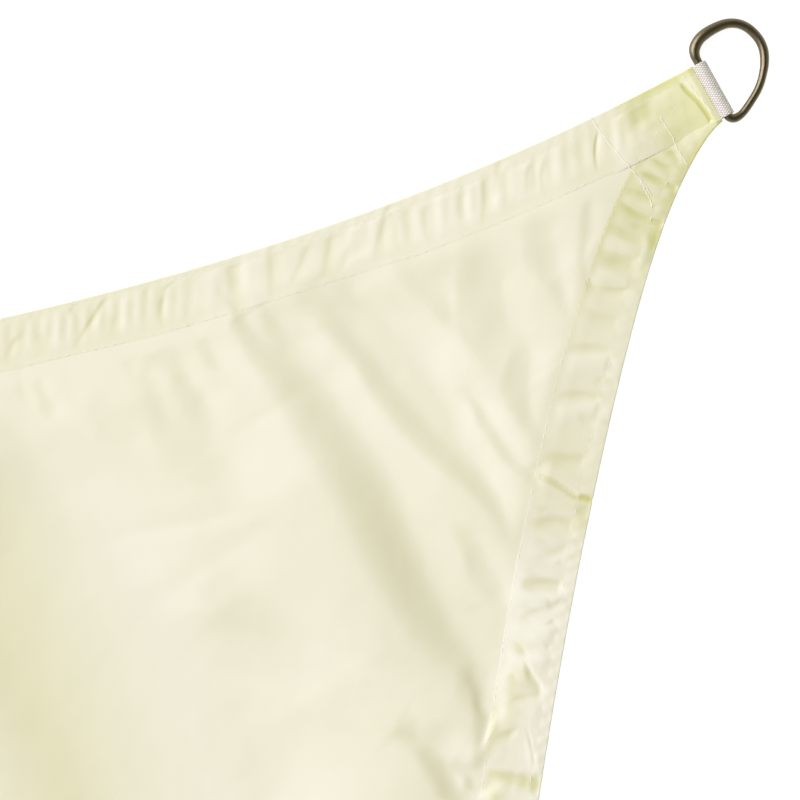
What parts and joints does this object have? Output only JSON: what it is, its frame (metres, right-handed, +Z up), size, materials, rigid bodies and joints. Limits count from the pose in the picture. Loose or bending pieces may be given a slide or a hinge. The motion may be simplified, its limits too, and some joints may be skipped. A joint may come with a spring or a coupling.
{
  "type": "shade sail",
  "caption": "Square shade sail of coated cloth with inward-curved hemmed edges, laid out flat, a D-ring on a webbing loop at each corner.",
  "frame": {"origin": "middle of the sail, on the surface that it lies on", "axes": "+Z up from the laid sail, whose hems are uppermost; +X and +Y along the sail's sides"},
  "size_m": [2.0288, 2.0288, 0.009],
  "materials": {
    "cream_cloth": "fine plain weave with a faint coated sheen",
    "white_webbing": "ribbed polyester webbing",
    "ring_steel": "polished, with dark warm reflections"
  },
  "bodies": {
    "root": {"sail_cloth": "cream_cloth", "webbing_1": "white_webbing", "webbing_2": "white_webbing", "webbing_3": "white_webbing", "webbing_4": "white_webbing", "ring_1": "ring_steel", "ring_2": "ring_steel", "ring_3": "ring_steel", "ring_4": "ring_steel"}
  },
  "joints": []
}
